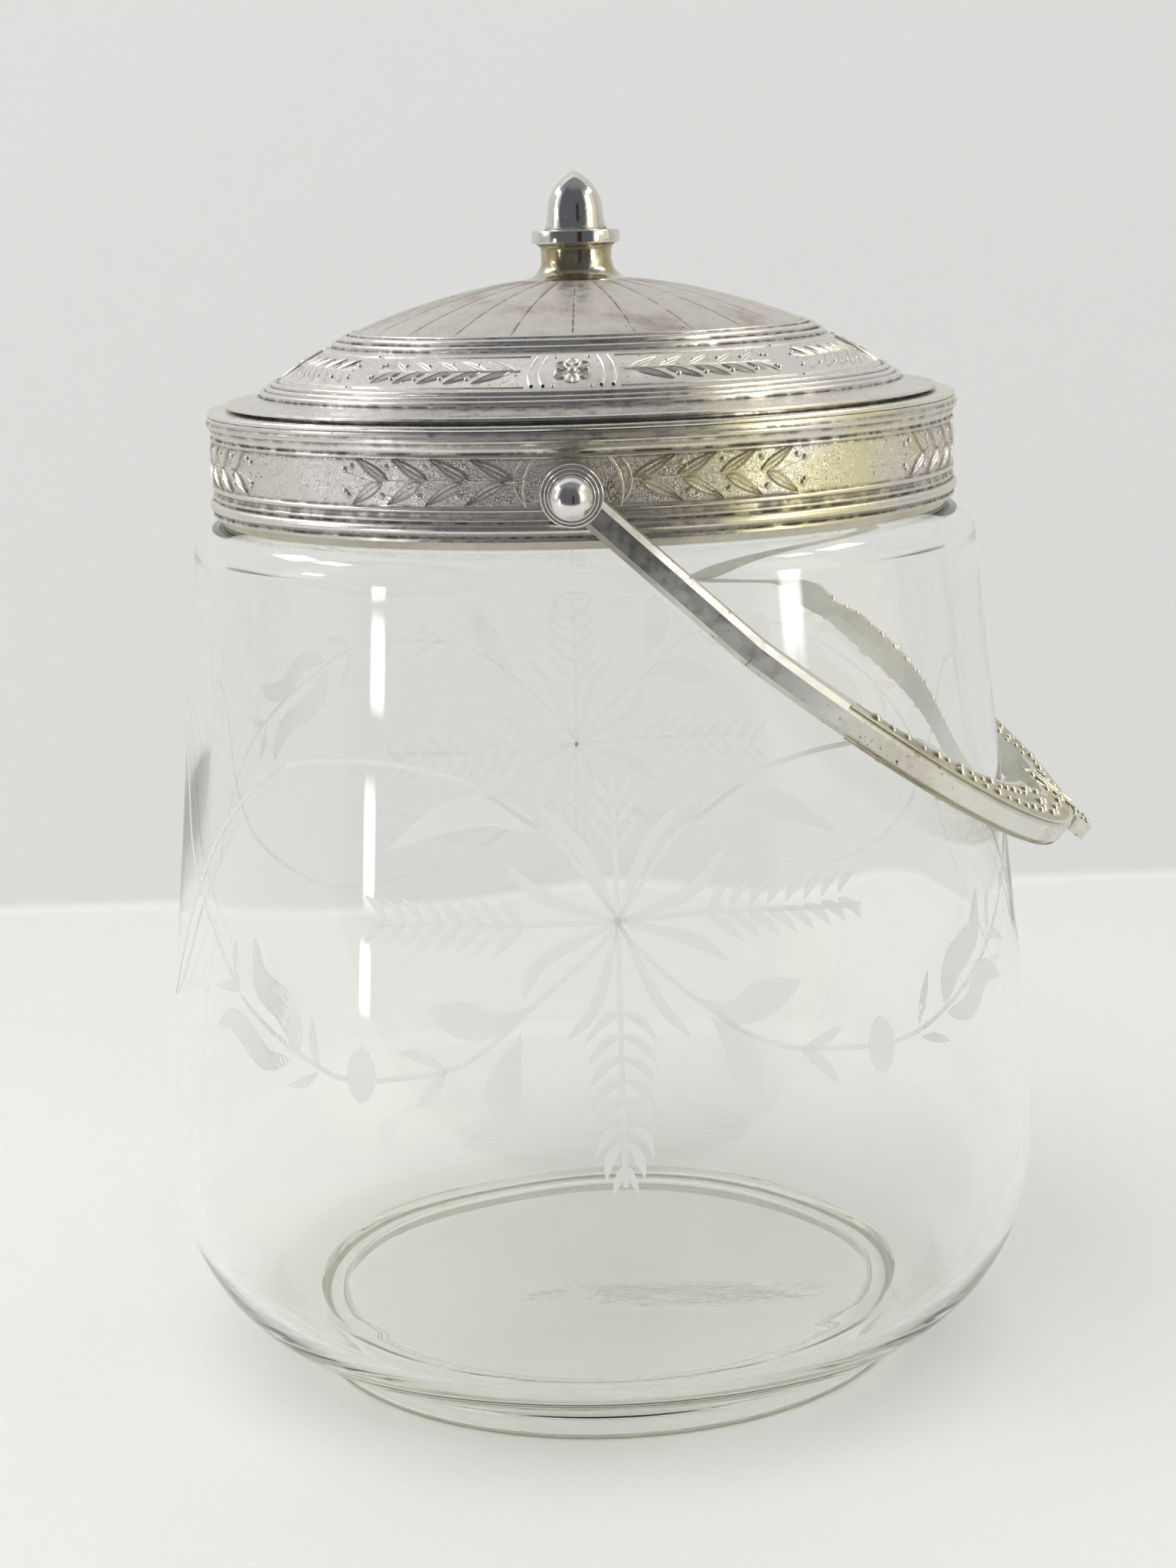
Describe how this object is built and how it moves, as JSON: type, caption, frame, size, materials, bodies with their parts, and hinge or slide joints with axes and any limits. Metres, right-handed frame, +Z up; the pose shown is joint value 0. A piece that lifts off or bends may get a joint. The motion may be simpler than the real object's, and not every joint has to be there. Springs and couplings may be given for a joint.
{
  "type": "biscuit jar",
  "caption": "Engraved glass biscuit jar with a silver-plated collar, a lift-off domed lid with an acorn finial, and a flat swing handle on ball-headed screws.",
  "frame": {"origin": "on the jar's axis, in the plane that the glass foot ring stands on", "axes": "+Z up the jar's axis; the handle's pivots lie along Y; at rest the handle hangs towards +X"},
  "size_m": [0.1542, 0.1466, 0.1928],
  "materials": {
    "glass": "clear blown glass, wheel engraved",
    "silver_plate": "worn silver plate, embossed and engraved",
    "brass": "turned, unplated",
    "plaster": "matt, set plaster"
  },
  "bodies": {
    "jar": {"glass_jar": "glass", "plaster_bedding": "plaster", "collar_band": "silver_plate", "collar_rim": "silver_plate", "handle_boss_front": "silver_plate", "handle_boss_back": "silver_plate", "pivot_screw_front": "silver_plate", "pivot_screw_back": "silver_plate", "pivot_nut_front": "brass", "pivot_nut_back": "brass", "pivot_washer_front": "brass", "pivot_washer_back": "brass"},
    "handle": {"bail_handle": "silver_plate"},
    "lid": {"lid_shell": "silver_plate", "lid_bezel": "silver_plate", "knob_finial": "silver_plate", "knob_stud": "brass", "knob_washer": "brass", "knob_nut": "brass"}
  },
  "joints": [
    {"name": "handle_swing", "type": "hinge", "parent": "jar", "child": "handle", "pos_m": [0, 0, 0.148], "axis": [0, -1, 0], "range_deg": [0, 257]},
    {"name": "lid_lift", "type": "slide", "parent": "jar", "child": "lid", "axis": [0, 0, 1], "range_m": [0, 0.04]}
  ]
}
